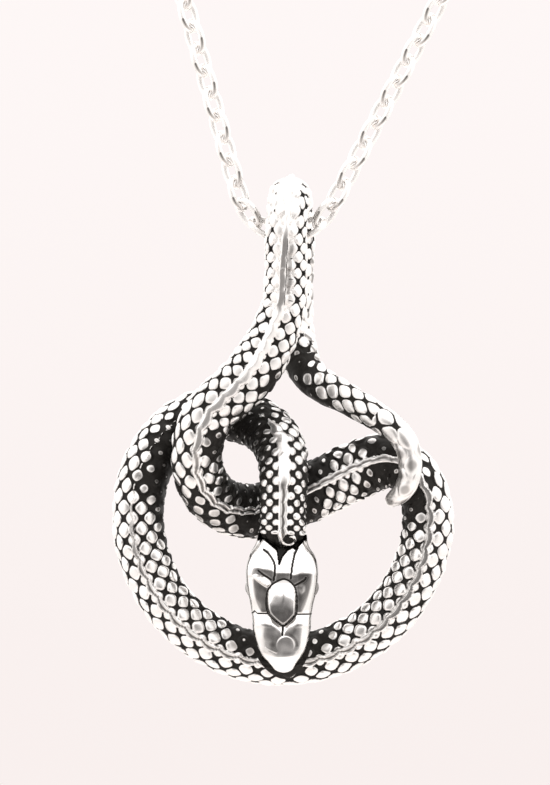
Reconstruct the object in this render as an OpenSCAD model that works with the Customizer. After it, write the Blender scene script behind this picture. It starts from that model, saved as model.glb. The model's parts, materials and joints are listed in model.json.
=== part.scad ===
// Snake pendant on a cable chain: a coiled snake whose body, bent over the chain, is its own bail.
// Front is -Y, up is +Z, and the origin is on the inner edge of the closed loop, at the nape.

/* [Snake] */
// Radius of the round coil, to the middle of the body
coil_r = 12.1; // [12:0.05:12.2]
// Inner radius of the eye that the body makes around the chain
eye_r = 1.35; // [1.3:0.05:1.4]
// Scales around the body, counted over two staggered rows
scales_around = 16; // [12:2:16]
// Distance from one row of scales to the next
scale_row = 0.83; // [0.8:0.01:1.2]
// Height of a scale's middle over the grooves around it
scale_relief = 0.16; // [0:0.02:0.2]
// Height of the keel along the back over the scales
keel_h = 0.12; // [0:0.02:0.2]
// Depth of the lines between the head's plates
plate_line = 0.14; // [0:0.02:0.2]

/* [Chain] */
// Diameter of the links' wire
wire = 0.54; // [0.48:0.02:0.54]
// Width of a link across its sides
link_w = 2.1; // [2.1:0.02:2.14]
// Distance from one link to the next
pitch = 1.93; // [1.9:0.01:1.96]
// Free play between two links
play = 0.2; // [0.2:0.01:0.24]
// Links on each side of the one in the eye
side_links = 113; // [101:2:113]
// Angle of the left strand from the vertical
lean_left = 15.6; // [14:0.2:18]
// Angle of the right strand from the vertical
lean_right = 27.6; // [26:0.2:29]
// Radius of the chain's bend through the eye
bend_r = 4.1; // [4.1:0.1:4.6]

/* [Clasp] */
// Radius of the two jump rings, to the middle of the wire
ring_r = 1.6; // [1.55:0.05:1.65]
// Diameter of the jump rings' wire
ring_wire = 0.7; // [0.6:0.02:0.7]
// Thickness of the clasp
clasp_t = 1.4; // [1.2:0.1:1.5]
// Outer radius of the clasp's claw end
claw_r = 2.4; // [2.3:0.05:2.45]
// Width of the metal around the claw's hole
claw_rim = 0.9; // [0.8:0.05:0.95]

/* [Hidden] */
steel_white = [0.86, 0.86, 0.85];

// The snake's own frame: x right, z up from the coil's centre, front towards the viewer.
// Columns of each stretch: x, z, front, width, depth
X = 0; Z = 1; FRONT = 2; WIDTH = 3; DEPTH = 4;
eye_x = 0.35;
eye_z = 23.35;
eye_front = 0.6;
bail_w = 3.55;
bail_r = eye_r + bail_w/2;
// The bail starts at this x and ends further right, where the tail comes down
bail_x = 0.25;
bail_shift = 0.7;
// The coil's body, and how far its left side lies behind its right side
coil_w = 4.35;
coil_d = 4.3;
coil_sink = 0.15;
// Outward tilt of the keel at the coil's left and right side
coil_tilt = [13, 3];

head = [
  [0, -13.5, 3.7, 0.3, 0.3], [0, -13.35, 3.7, 1.3, 1.1], [0, -12.9, 3.75, 2.5, 1.9],
  [0, -12.1, 3.8, 3.6, 2.5], [0, -11, 3.8, 4.4, 2.8], [0, -9.2, 3.8, 4.9, 3],
  [0, -7.2, 3.75, 5.4, 3.3], [0, -5.3, 3.7, 6, 3.6], [0, -3.9, 3.65, 5.7, 3.7],
  [0, -2.6, 3.6, 4.6, 3.7]];
neck = [
  [0, -1.4, 3.55, 4, 3.8], [0, 0.6, 3.5, 3.85, 3.85], [0.05, 2.3, 3.2, 4.05, 4],
  [0.05, 3.9, 2.5, 4.2, 4.1], [-0.3, 5.7, 1.1, 4.35, 4.2], [-1.6, 7.3, -0.5, 4.4, 4.25],
  [-3.6, 8.15, -1.45, 4.4, 4.25], [-5.9, 8.5, -1.7, 4.4, 4.25], [-8.2, 7.75, -1.55, 4.35, 4.25],
  [-10.2, 5.9, -1.1, 4.35, 4.25], [-11.5, 3.6, -0.5, 4.35, 4.3]];
coil = [for (a = [180:20:360])
  [coil_r*cos(a), coil_r*sin(a), -coil_sink*(360 - a)/180, coil_w, coil_d]];
hairpin = [
  [11.75, 1.85, -0.05, 4.25, 4.3], [11.2, 2.95, -0.15, 4.2, 4.4], [10.35, 3.85, -0.3, 4.3, 4.5],
  [9.3, 4.4, -0.5, 4.6, 4.6], [8.1, 4.4, -0.65, 4.8, 4.7], [6.4, 3.8, -0.85, 4.95, 4.7]];
crossing = [
  [4.3, 2.8, -1, 5, 4.7], [2.15, 1.75, -1.15, 4.9, 4.7], [0, 0.75, -1.25, 4.8, 4.65],
  [-2.75, 0.25, -1.05, 4.7, 4.55], [-5.15, 0.9, 0.1, 4.5, 4.4], [-6.65, 2.6, 1.5, 4.4, 4.35],
  [-7.15, 4.65, 2.6, 4.3, 4.3], [-6.9, 6.65, 3.15, 4.35, 4.3]];
rise = [
  [-6.1, 8.4, 3.4, 4.35, 4.3], [-4.6, 10, 3.5, 4.35, 4.3], [-3.1, 11.6, 3.55, 4.25, 4.2],
  [-1.7, 13.5, 3.6, 4.2, 4], [-0.6, 15.5, 3.65, 4, 3.85], [0.1, 17.65, 3.7, 3.75, 3.65],
  [0.25, 20.4, 3.7, 3.6, 3.55]];
bail = [for (a = [0:30:180])
  [bail_x + bail_shift*a/180, eye_z + bail_r*sin(a), eye_front + bail_r*cos(a), bail_w, bail_w]];
drop = [
  [0.95, 20.4, -2.5, 3.35, 3.35], [0.95, 17.1, -2.45, 3.25, 3.25], [1.2, 14.2, -2.1, 3.2, 3.2]];
tail = [
  [2, 11.95, -1.4, 3, 3], [3.35, 10.75, -0.4, 2.9, 2.9], [4.85, 9.95, 0.7, 2.7, 2.7],
  [6.2, 9.15, 1.7, 2.5, 2.5], [7.85, 8.1, 2.75, 2.25, 2.25], [9.1, 7.25, 3.2, 2.1, 2.1]];
hook = [
  [10.1, 6.1, 3.3, 2.1, 2.1], [10.5, 4.6, 3.2, 2, 2], [10.45, 3.15, 3, 1.9, 1.9],
  [9.9, 2, 2.55, 1.7, 1.7], [9.2, 1.4, 2, 1.35, 1.35], [8.75, 1.1, 1.6, 0.7, 0.7],
  [8.65, 1.05, 1.5, 0.2, 0.2]];

// Where the keel faces, as x, z and front, from the start to the end of each stretch
ahead = [0, 0, 1];
outward_left = [-0.2, 0, 1];
outward_right = [0.1, 0, 1];
upward = [-0.05, 0.15, 1];
behind = [0.15, 0, -1];
rightward = [0.6, 0.75, 0.2];
beside = [0.75, 0.6, 0.3];
below = [0.1, -0.95, 0.3];

// A stretch with its facing directions joined on, as columns 5 to 7
function faced(rows, from, to) = let (last = len(rows) - 1)
  [for (i = [0:last]) concat(rows[i], from + (to - from)*i/last)];
// Facing that is tilted outward all round the coil
function coil_faced() = let (last = len(coil) - 1) [for (i = [0:last])
  let (a = 180 + 180*i/last, tilt = coil_tilt[0] + (coil_tilt[1] - coil_tilt[0])*i/last)
    concat(coil[i], [sin(tilt)*cos(a), sin(tilt)*sin(a), cos(tilt)])];
// Facing that points straight away from the eye, over the top of the bail
function bail_faced() = let (last = len(bail) - 1) [for (i = [0:last])
  let (a = 180*i/last) concat(bail[i], [behind[0]*a/180, sin(a), cos(a)])];

route = concat(faced(head, ahead, ahead), faced(neck, ahead, outward_left), coil_faced(),
  faced(hairpin, outward_right, upward), faced(crossing, upward, ahead), faced(rise, ahead, ahead),
  bail_faced(), faced(drop, behind, behind), faced(tail, behind, rightward),
  faced(hook, beside, below));

function place(row) = [row[X], row[Z], row[FRONT]];
function sums(list, i = 0, sum = 0) = i == len(list) ? [sum]
  : concat([sum], sums(list, i + 1, sum + list[i]));
knots = sums([for (i = [0:len(route) - 2]) norm(place(route[i + 1]) - place(route[i]))]);
last = len(route) - 1;

// Slope of every column at row i, weighted by the distances to its two neighbours
function slope(i) = i == 0 ? (route[1] - route[0])/knots[1]
  : i == last ? (route[last] - route[last - 1])/(knots[last] - knots[last - 1])
  : let (before = knots[i] - knots[i - 1], after = knots[i + 1] - knots[i])
    ((route[i] - route[i - 1])*after/before + (route[i + 1] - route[i])*before/after)/(before + after);
slopes = [for (i = [0:last]) slope(i)];

// Row number that holds the chord distance t, by halving
function span(t, low = 0, high = last) = high - low < 2 ? low
  : let (mid = floor((low + high)/2)) t < knots[mid] ? span(t, low, mid) : span(t, mid, high);
// Every column at chord distance t, on a smooth cubic through the rows
function along(t) = let (i = span(t), h = knots[i + 1] - knots[i], u = (t - knots[i])/h)
  (2*u^3 - 3*u^2 + 1)*route[i] + (u^3 - 2*u^2 + u)*h*slopes[i]
  + (3*u^2 - 2*u^3)*route[i + 1] + (u^3 - u^2)*h*slopes[i + 1];

// Head rings are finer than body rings; both are spaced evenly along the route
head_end = knots[len(head)];
head_rings = 26;
body_rings = floor((knots[last] - head_end)/scale_row);
stations = concat([for (i = [0:head_rings - 1]) head_end*i/head_rings],
  [for (i = [0:body_rings]) head_end + (knots[last] - head_end)*i/body_rings]);
// Distance each way over which the route's direction is taken
step = 0.05;

// Where the nose, the snout's plates, the crown and the whole head end, along the route
nose = 1.2;
snout = 3.4;
crown = 8;
head_len = 11;
// Half width of a line across the head, and points from its middle to the lines beside it
line_half = 0.3;
line_side = 2;
// The lines across reach this many points to each side
top_side = 4;
function plate_cut(t, j) = let (side = min(j, scales_around - j))
  side > top_side ? 0
  : abs(t - snout) < line_half || abs(t - crown) < line_half ? plate_line
  : t < snout ? 0
  : side == line_side ? plate_line
  : side == 0 && t < crown ? -plate_line/2 : 0;

// Body radius below which there are no scales, and from which they are full
bare_r = 0.7;
full_r = 1.3;
function scale_cut(k, j, r) = (k + j)%2 == 0 || r < bare_r ? 0 : scale_relief*min(1, r/full_r);

// Lowering of the surface at ring k, point j, which leaves scales, keel and head plates standing
function cut(k, j, t, r) = t < nose ? 0
  : t < head_len ? plate_cut(t, j)
  : j == 0 && r > full_r ? -keel_h
  : scale_cut(k, j, r);

function ring(k) = let (t = stations[k], here = along(t),
    fore = along(min(knots[last], t + step)), aft = along(max(0, t - step)),
    tangent = (place(fore) - place(aft))/norm(place(fore) - place(aft)),
    facing = [here[5], here[6], here[7]],
    flat = facing - tangent*(facing*tangent),
    up = flat/norm(flat), across = cross(tangent, up))
  [for (j = [0:scales_around - 1]) let (a = 360*j/scales_around,
      low = cut(k, j, t, min(here[WIDTH], here[DEPTH])/2))
    place(here) + (here[DEPTH]/2 - low)*cos(a)*up + (here[WIDTH]/2 - low)*sin(a)*across];

// Two triangles of the patch after ring k and point j, parted along the groove
function patch(k, j) = let (n = scales_around, m = (j + 1)%n,
    a = k*n + j, b = k*n + m, c = (k + 1)*n + m, d = (k + 1)*n + j)
  (k + j)%2 == 0 ? [[a, d, b], [b, d, c]] : [[a, c, b], [a, d, c]];

module snake() {
  n = scales_around;
  count = len(stations);
  rings = [for (k = [0:count - 1]) ring(k)];
  points = [for (r = rings, p = r) [p[0], -p[2], p[1]]];
  ends = [[for (j = [0:n - 1]) j], [for (j = [0:n - 1]) count*n - 1 - j]];
  sides = [for (k = [0:count - 2], j = [0:n - 1], f = patch(k, j)) f];
  color(steel_white) translate(eye) translate([-eye_x, eye_front, -eye_z])
    polyhedron(points, concat(ends, sides));
}

// Each jump ring hangs in its side's last link, and ring_out from the clasp's middle
ring_s = side_links*pitch + (pitch + play)/2 - play - ring_wire/2 + ring_r;
ring_out = 4.8;
loop_len = 2*(ring_s + ring_out);

// The loop of chain: a small arc through the eye, two straight strands and a large arc at the nape
half_angle = (lean_left + lean_right)/2;
arc = PI*half_angle/90;
nape_r = (loop_len - bend_r*(PI - arc) + 2*bend_r/tan(half_angle))/(2/tan(half_angle) + PI + arc);
strand = (nape_r - bend_r)/tan(half_angle);
reach = (nape_r - bend_r)/sin(half_angle);
tilt = (lean_right - lean_left)/2;
loop_top = [reach*sin(tilt), bend_r + reach*cos(tilt)];

// Place x, z on one side of the loop, s along it from the eye; side is 1 right, -1 left
function side_way(s, lean, side) = let (bend = bend_r*PI*(90 - lean)/180,
    from = s < bend ? s/bend_r*180/PI - 90 : -lean,
    turn = s < bend + strand ? from : (s - bend - strand)/nape_r*180/PI - lean,
    foot = bend_r*[cos(from), sin(from) + 1],
    top = [side*loop_top[0], loop_top[1]],
    p = s < bend ? foot
      : s < bend + strand ? foot + (s - bend)*[sin(lean), cos(lean)]
      : top + nape_r*[cos(turn), sin(turn)])
  [side*p[0], p[1]];
function way(s) = s >= 0 ? side_way(s, lean_right, 1) : side_way(-s, lean_left, -1);

// Middle of the clasp, the direction from it into the loop, and the eye's place below the origin
nape = way(loop_len/2);
inward = (loop_top - nape)/nape_r;
inner_edge = nape + claw_r*inward;
eye = [-inner_edge[0], 0, -inner_edge[1]];

// Children stand midway between distances s0 and s1 along the loop, x from one to the other
module on_loop(s0, s1, roll) {
  a = way(s0);
  b = way(s1);
  translate(eye + [(a[0] + b[0])/2, 0, (a[1] + b[1])/2])
    rotate([0, -atan2(b[1] - a[1], b[0] - a[0]), 0]) rotate([roll, 0, 0]) children();
}

link_bend = (link_w - wire)/2;
link_side = pitch + play + wire - 2*link_bend;
module link_end() {
  rotate_extrude(angle = 180, $fn = 48) translate([link_bend, 0]) circle(d = wire, $fn = 24);
}
// Oval link lying in the x, z plane with its length along x
module link() {
  rotate([90, 0, 0]) {
    translate([link_side/2, 0, 0]) rotate([0, 0, -90]) link_end();
    translate([-link_side/2, 0, 0]) rotate([0, 0, 90]) link_end();
    for (s = [-1, 1]) translate([-link_side/2, s*link_bend, 0])
      rotate([0, 90, 0]) cylinder(d = wire, h = link_side, $fn = 24);
  }
}

// Neighbours lie a quarter turn apart, and the last ten turn on to meet the clasp square
turning = 10;
function roll(i) = 45 + 90*(i%2) + 45*max(0, 1 - (side_links - i)/turning);
module chain_side(side, first) {
  color(steel_white) for (i = [first:side_links])
    on_loop((side*i - 0.5)*pitch, (side*i + 0.5)*pitch, roll(i)) link();
}
module chain_left() { chain_side(-1, 0); }
module chain_right() { chain_side(1, 1); }

module jump_ring(side) {
  color(steel_white) on_loop(side*ring_s - ring_r, side*ring_s + ring_r, 0)
    rotate_extrude($fn = 96) translate([ring_r, 0]) circle(d = ring_wire, $fn = 32);
}
module end_ring() { jump_ring(1); }
module clasp_link() { jump_ring(-1); }

// Plain closed clasp with a claw hole at the right ring and a small eye at the left one
clasp_half = 5.1;
claw_x = clasp_half - claw_r;
tail_r = 1.45;
tail_x = tail_r - clasp_half;
tail_hole_r = 0.68;
tail_hole_x = -3.3;
module clasp() {
  color(steel_white) translate(-claw_r*[inward[0], 0, inward[1]])
    rotate([0, -atan2(inward[0], -inward[1]), 0]) rotate([90, 0, 0]) translate([0, 0, -clasp_t/2])
    linear_extrude(clasp_t) difference() {
      union() {
        translate([claw_x, 0]) circle(claw_r, $fn = 96);
        translate([tail_x, 0]) circle(tail_r, $fn = 64);
        polygon([[tail_x, -tail_r], [claw_x, -claw_r], [claw_x, claw_r], [tail_x, tail_r]]);
      }
      translate([claw_x, 0]) circle(claw_r - claw_rim, $fn = 64);
      translate([tail_hole_x, 0]) circle(tail_hole_r, $fn = 48);
    }
}

snake();
chain_left();
chain_right();
end_ring();
clasp_link();
clasp();
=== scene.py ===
# %% [markdown]
# # A silver snake on its chain
# The real object is one casting of a coiled snake that hangs on a cable chain. Its body climbs out
# of the coil, bends over the chain and comes down behind, so the snake is its own bail. The frame
# holds the solids; this lesson gives them scales, a keel, head plates, dark oxide and polish.

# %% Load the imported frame
import json
import math

import bpy
import numpy as np
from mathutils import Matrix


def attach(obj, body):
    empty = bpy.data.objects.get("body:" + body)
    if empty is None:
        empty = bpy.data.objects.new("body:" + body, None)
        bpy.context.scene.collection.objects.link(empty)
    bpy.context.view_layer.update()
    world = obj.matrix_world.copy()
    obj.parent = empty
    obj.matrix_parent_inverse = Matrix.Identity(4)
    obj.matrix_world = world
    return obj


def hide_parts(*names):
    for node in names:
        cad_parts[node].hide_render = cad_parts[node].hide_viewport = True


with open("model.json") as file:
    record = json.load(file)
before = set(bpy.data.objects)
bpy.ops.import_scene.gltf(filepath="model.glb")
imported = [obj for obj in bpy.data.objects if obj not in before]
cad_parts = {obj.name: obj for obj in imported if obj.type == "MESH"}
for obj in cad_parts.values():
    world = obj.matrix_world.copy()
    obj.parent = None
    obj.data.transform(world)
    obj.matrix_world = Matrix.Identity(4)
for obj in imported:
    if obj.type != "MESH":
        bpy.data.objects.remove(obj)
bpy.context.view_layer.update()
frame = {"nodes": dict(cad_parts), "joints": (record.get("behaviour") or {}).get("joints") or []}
MM = 0.001
hinge = next(j for j in frame["joints"] if j["name"] == "pendant_swing")
eye = np.array(hinge["pos_m"]) / MM
print("nodes:", sorted(frame["nodes"]), "eye of the bail, mm:", eye.round(2))

# %% [markdown]
# ## The route of the body
# A snake's body is a tube that changes its thickness, so it is a profile carried along a path. The
# path is a short table of places that a maker would mark on the wax: x to the right and z up from
# the middle of the coil, front towards the viewer, then the body's width and depth there. Each
# stretch also says where the keel on the snake's back faces at its start and end, and how far
# apart the rows of scales lie at its start.

# %% Tables of the route, in millimetres
HEAD = [
    [0.12, -12.92, 3.7, 0.3, 0.3], [0.11, -12.72, 3.75, 1.2, 1.3], [0.06, -12.22, 3.8, 2.1, 2.1],
    [0.02, -11.73, 3.8, 2.95, 2.7], [-0.02, -11.2, 3.8, 3.65, 2.88], [-0.07, -10.25, 3.8, 4.35, 2.98],
    [-0.1, -9.25, 3.8, 4.8, 3.05], [-0.11, -8.2, 3.78, 4.95, 3.15], [-0.11, -7.25, 3.76, 5.25, 3.3],
    [-0.1, -6.25, 3.75, 5.7, 3.4], [-0.09, -5.3, 3.72, 5.95, 3.5], [-0.09, -4.3, 3.68, 5.95, 3.6],
    [-0.09, -3.6, 3.63, 5.65, 3.65], [-0.09, -3, 3.6, 5.15, 3.7], [-0.07, -2.35, 3.6, 4.4, 3.7]]
NECK = [
    [-0.03, -1.4, 3.55, 4, 3.8], [0, 0.6, 3.5, 3.85, 3.85], [0.05, 2.3, 3.2, 4.05, 4],
    [0.05, 3.9, 2.5, 4.2, 4.1], [-0.3, 5.7, 1.1, 4.35, 4.2], [-1.6, 7.3, -0.5, 4.4, 4.25],
    [-3.6, 8.15, -1.45, 4.4, 4.25], [-5.9, 8.5, -1.7, 4.4, 4.25], [-8.2, 7.75, -1.55, 4.35, 4.25],
    [-10.2, 5.9, -1.1, 4.35, 4.25], [-11.5, 3.6, -0.5, 4.35, 4.3]]
HAIRPIN = [
    [11.75, 1.85, -0.05, 4.25, 4.3], [11.2, 2.95, -0.15, 4.2, 4.4], [10.35, 3.85, -0.3, 4.3, 4.5],
    [9.3, 4.4, -0.5, 4.6, 4.6], [8.1, 4.4, -0.65, 4.8, 4.7], [6.4, 3.8, -0.85, 4.95, 4.7]]
CROSSING = [
    [4.3, 2.8, -1, 5, 4.7], [2.15, 1.75, -1.15, 4.9, 4.7], [0, 0.75, -1.25, 4.8, 4.65],
    [-2.75, 0.25, -1.05, 4.7, 4.55], [-5.15, 0.9, 0.1, 4.5, 4.4], [-6.65, 2.6, 1.5, 4.4, 4.35],
    [-7.15, 4.65, 2.6, 4.3, 4.3], [-6.9, 6.65, 3.15, 4.35, 4.3]]
RISE = [
    [-6.1, 8.4, 3.4, 4.35, 4.3], [-4.55, 9.95, 3.5, 4.45, 4.3], [-2.92, 11.52, 3.55, 4.5, 4.2],
    [-1.55, 13.45, 3.6, 4.35, 4], [-0.6, 15.5, 3.65, 4, 3.85], [0.1, 17.65, 3.7, 3.75, 3.65],
    [0.25, 20.4, 3.7, 3.6, 3.55]]
DROP = [
    [0.95, 20.4, -2.5, 3.35, 3.35], [0.95, 17.1, -2.45, 3.25, 3.25], [1.2, 14.2, -2.1, 3.2, 3.2]]
TAIL = [
    [2, 11.95, -1.4, 3, 3], [3.35, 10.75, -0.4, 2.9, 2.9], [4.85, 9.95, 0.7, 2.7, 2.7],
    [6.2, 9.15, 1.7, 2.5, 2.5], [7.85, 8.1, 2.75, 2.25, 2.25], [9.1, 7.25, 3.2, 2.1, 2.1]]
HOOK = [
    [10.1, 6.1, 3.3, 2.1, 2.1], [10.5, 4.6, 3.2, 2, 2], [10.45, 3.15, 3, 1.9, 1.9],
    [9.9, 2, 2.55, 1.7, 1.7], [9.2, 1.4, 2, 1.35, 1.35], [8.75, 1.1, 1.6, 0.7, 0.7],
    [8.65, 1.05, 1.5, 0.2, 0.2]]
COIL_R, COIL_W, COIL_D, COIL_SINK = 12.1, 4.35, 4.3, 0.15
EYE_R, BAIL_W = 1.35, 3.55
EYE_X, EYE_Z, EYE_FRONT = 0.35, 23.35, 0.6
BAIL_X, BAIL_SHIFT = 0.25, 0.7
print("rows in the tables:", sum(map(len, (HEAD, NECK, HAIRPIN, CROSSING, RISE, DROP, TAIL, HOOK))))

# %% Arcs of the coil and the bail, and where the keel faces
COIL_TILT = np.radians([13, 3])
AHEAD, OUT_LEFT, OUT_RIGHT, UPWARD = [0, 0, 1], [-0.2, 0, 1], [0.1, 0, 1], [-0.05, 0.15, 1]
ARCH_OUT, ARCH_UP, LEFTWARD = [0.2, 0.15, 1], [-0.1, 0.2, 1], [-0.15, 0, 1]
BEHIND, RIGHTWARD, BESIDE, BELOW = [0.15, 0, -1], [0.6, 0.75, 0.2], [0.75, 0.6, 0.3], [0.1, -0.95, 0.3]


def faced(rows, *facings):
    """Rows with the keel's facing joined on, blended evenly through the facings from start to end."""
    blend = np.linspace(0, 1, len(rows))
    marks = np.linspace(0, 1, len(facings))
    return np.column_stack([rows, *(np.interp(blend, marks, part) for part in np.transpose(facings))])


def coil_rows():
    """Half a circle of radius COIL_R under the middle; the keel tilts outward by COIL_TILT."""
    a = np.radians(np.arange(180, 361, 20))
    part = np.linspace(0, 1, len(a))
    tilt = COIL_TILT[0] + part * (COIL_TILT[1] - COIL_TILT[0])
    return np.column_stack([
        COIL_R * np.cos(a), COIL_R * np.sin(a), -COIL_SINK * (1 - part),
        np.full_like(a, COIL_W), np.full_like(a, COIL_D),
        np.sin(tilt) * np.cos(a), np.sin(tilt) * np.sin(a), np.cos(tilt)])


def bail_rows():
    """Half a circle over the eye, from front to back; the keel faces straight out of it."""
    a = np.radians(np.arange(0, 181, 30))
    part = a / math.pi
    r = EYE_R + BAIL_W / 2
    return np.column_stack([
        BAIL_X + BAIL_SHIFT * part, EYE_Z + r * np.sin(a), EYE_FRONT + r * np.cos(a),
        np.full_like(a, BAIL_W), np.full_like(a, BAIL_W),
        BEHIND[0] * part, np.sin(a), np.cos(a)])


print("rows of the coil:", len(coil_rows()), "of the bail:", len(bail_rows()))

# %% Join the stretches into one route
STRETCHES = {
    "head": (faced(HEAD, AHEAD, AHEAD), 0.46, 0.42, 0),
    "neck": (faced(NECK, AHEAD, AHEAD, ARCH_OUT, ARCH_UP, OUT_LEFT), 0.46, 0.42, 0.4),
    "coil": (coil_rows(), 0.83, 0.26, 1),
    "hairpin": (faced(HAIRPIN, OUT_RIGHT, UPWARD), 0.83, 0.28, 1),
    "crossing": (faced(CROSSING, UPWARD, AHEAD), 0.62, 0.34, 0.15),
    "rise": (faced(RISE, AHEAD, LEFTWARD, LEFTWARD), 0.8, 0.46, 1.2),
    "bail": (bail_rows(), 0.66, 0.32, 0.1),
    "drop": (faced(DROP, BEHIND, BEHIND), 0.66, 0.3, 0),
    "tail": (faced(TAIL, BEHIND, RIGHTWARD), 0.86, 0.2, 0),
    "hook": (faced(HOOK, BESIDE, BELOW), 1.1, 0.12, 0)}
TIP_ROW = (0.8, 0.1, 0)
route = np.vstack([stretch[0] for stretch in STRETCHES.values()])
gaps = np.linalg.norm(np.diff(route[:, :3], axis=0), axis=1)
knots = np.concatenate([[0], np.cumsum(gaps)])
counts = np.cumsum([0] + [len(stretch[0]) for stretch in STRETCHES.values()])
START = dict(zip(STRETCHES, knots[counts[:-1]]))
LENGTH = knots[-1]
print("body length, mm:", round(LENGTH, 1), {name: round(t, 1) for name, t in START.items()})

# %% [markdown]
# ## A smooth path through the table
# Straight pieces between the places would show as kinks. A cubic through neighbouring rows keeps
# the direction steady, and the same cubic carries width, depth and facing. From the direction and
# the facing come two axes across the body at every place: up through the keel, and to its side.


# %% Places and axes anywhere along the body
def row_slopes():
    """Slope of every column at each row, weighted by the distances to its two neighbours."""
    steps = np.diff(route, axis=0) / gaps[:, None]
    before, after = gaps[:-1, None], gaps[1:, None]
    middle = (steps[:-1] * after + steps[1:] * before) / (before + after)
    return np.vstack([steps[:1], middle, steps[-1:]])


slopes = row_slopes()


def along(t):
    """Every column at distances t: Hermite cubic between the two rows around each of them."""
    i = np.clip(np.searchsorted(knots, t, side="right") - 1, 0, len(gaps) - 1)
    h = gaps[i][:, None]
    u = (t[:, None] - knots[i][:, None]) / h
    return ((2 * u**3 - 3 * u**2 + 1) * route[i] + (u**3 - 2 * u**2 + u) * h * slopes[i]
            + (3 * u**2 - 2 * u**3) * route[i + 1] + (u**3 - u**2) * h * slopes[i + 1])


def unit(v):
    """Vectors divided by their lengths."""
    return v / np.linalg.norm(v, axis=-1, keepdims=True)


def smooth(low, high, value):
    """0 at low, 1 at high, with an S-shaped step between."""
    s = np.clip((value - low) / (high - low), 0, 1)
    return s * s * (3 - 2 * s)


def axes(t, step=0.05):
    """Middle, half width, half depth, and the up and side axes across the body at distances t."""
    here = along(t)
    ahead = along(np.minimum(LENGTH, t + step))[:, :3]
    behind = along(np.maximum(0, t - step))[:, :3]
    tangent = unit(ahead - behind)
    facing = here[:, 5:8]
    up = unit(facing - tangent * (facing * tangent).sum(1, keepdims=True))
    return here[:, :3], here[:, 3] / 2, here[:, 4] / 2, up, np.cross(tangent, up)


print("where the coil starts, mm:", along(np.array([START["coil"]]))[0, :3].round(2))

# %% [markdown]
# ## How far the polishing wheel and the light reach
# After casting the whole snake is blackened, then polished. The wheel brightens what stands out
# and can't get between two strands or into the coil, where only the tips of the scales shine. So
# each place needs a number for how open it is. The share of its view that other strands cover is
# the sum, over short pieces of the body, of their size as seen from there. Low numbers stand for
# oxide and also for painted shade: near other strands, under the head and in a few listed corners.

# %% Numbers of the openness
COARSE_T, COARSE_A = 420, 32
# Covered share of the view at which a place is still open, and at which it is shut
COVER_NONE, COVER_FULL = 0.6, 1.02
# Painted shade of a strand right in front, and its distances for full shade and for none, in
# millimetres
NEAR_SHADE, NEAR_FULL, NEAR_NONE = 1.2, 0.5, 3.4
# A stretch this long doesn't shade itself, one short piece never covers more than this share, and
# the flat head shades only half as much as a strand
OWN_STRETCH, MOST_COVER, HEAD_SHARE = 6, 0.3, 0.5
# On the front view, v counts up from a line this far below the coil's middle
MIDDLE_V = 13.5
# Corners painted darker as shade where strands shade each other: x, v, radius, how far to the front it
# reaches, and its strength
SHADE_POCKETS = [
    (1.1, 26.3, 1.6, 2, 0.9), (8.3, 17.4, 1.3, 2.3, 0.9), (10.9, 15.2, 1.1, 2.2, 0.9),
    (-9.7, 19.3, 1.5, 2, 0.9), (-10.3, 16.2, 1.2, 2, 0.8), (-5.3, 19.3, 1.1, 5.3, 0.8),
    (-3.2, 21.3, 1.7, 2, 0.9), (-2.3, 13, 1.1, 2, 0.7), (2.2, 17, 0.9, 2, 0.6), (-3, 3.9, 1.3, 2, 0.8),
    (3, 3.4, 1.2, 2, 0.6), (-11.4, 16.3, 1.3, 2, 0.4), (-6.3, 13.8, 2.4, 4, 0.3),
    (-1.9, 18.6, 1.1, 3.4, 0.7), (-0.9, 24.4, 1, 5, 0.8),
    (-2.4, 13.1, 1, 4.2, 0.8), (-2.4, 15, 1, 4.2, 0.8), (-2.4, 16.8, 1, 4.2, 0.8),
    (2.5, 13.3, 0.8, 4.2, 0.7), (2.5, 15.2, 0.8, 4.2, 0.7), (2.5, 17, 0.8, 4.2, 0.7)]
print("corners where oxide gathers:", len(SHADE_POCKETS))


# %% Openness of the surface on a coarse grid
def coarse_reach():
    """1 where open, down to 0 where other strands or the coil's inside shut it in: oxide and painted
    shade.
    """
    t = np.linspace(0, LENGTH, COARSE_T)
    a = np.arange(COARSE_A) * 2 * math.pi / COARSE_A
    middle, half_w, half_d, up, side = axes(t)
    normal = np.cos(a)[None, :, None] * up[:, None] + np.sin(a)[None, :, None] * side[:, None]
    radius = (half_w + half_d)[:, None, None] / 2
    place = middle[:, None] + radius * normal
    cover, near = np.zeros(place.shape[:2]), np.zeros(place.shape[:2])
    piece = LENGTH / COARSE_T
    for k in range(COARSE_T):
        away = middle[k] - place
        far = np.linalg.norm(away, axis=2)
        other = (np.abs(t - t[k]) > OWN_STRETCH)[:, None]
        facing = np.maximum(0, (away * normal).sum(2) / far)
        cover += other * facing * np.minimum(MOST_COVER, 2 * half_w[k] * piece / far**2 / math.pi)
        share = HEAD_SHARE if t[k] < START["neck"] / 2 else 1.0
        near = np.maximum(near, share * other * facing * smooth(NEAR_NONE, NEAR_FULL, far - half_w[k]))
    # Low openness paints shade as well as oxide
    reach = smooth(COVER_FULL, COVER_NONE, cover) * np.clip(1 - NEAR_SHADE * near, 0, 1)
    # Each corner paints shade by lowering the openness
    for x, v, r, front, strength in SHADE_POCKETS:
        far = np.hypot(place[..., 0] - x, place[..., 1] + MIDDLE_V - v) / r
        shut = strength * np.exp(-far**4) * (place[..., 2] < front) * smooth(-0.4, 0.1, normal[..., 2])
        reach = reach * (1 - shut)
    hook = smooth(START["hook"] - 3, START["hook"], t)[:, None]
    return t, np.maximum(reach, 0.9 * hook)


reach_t, reach_map = coarse_reach()


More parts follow.
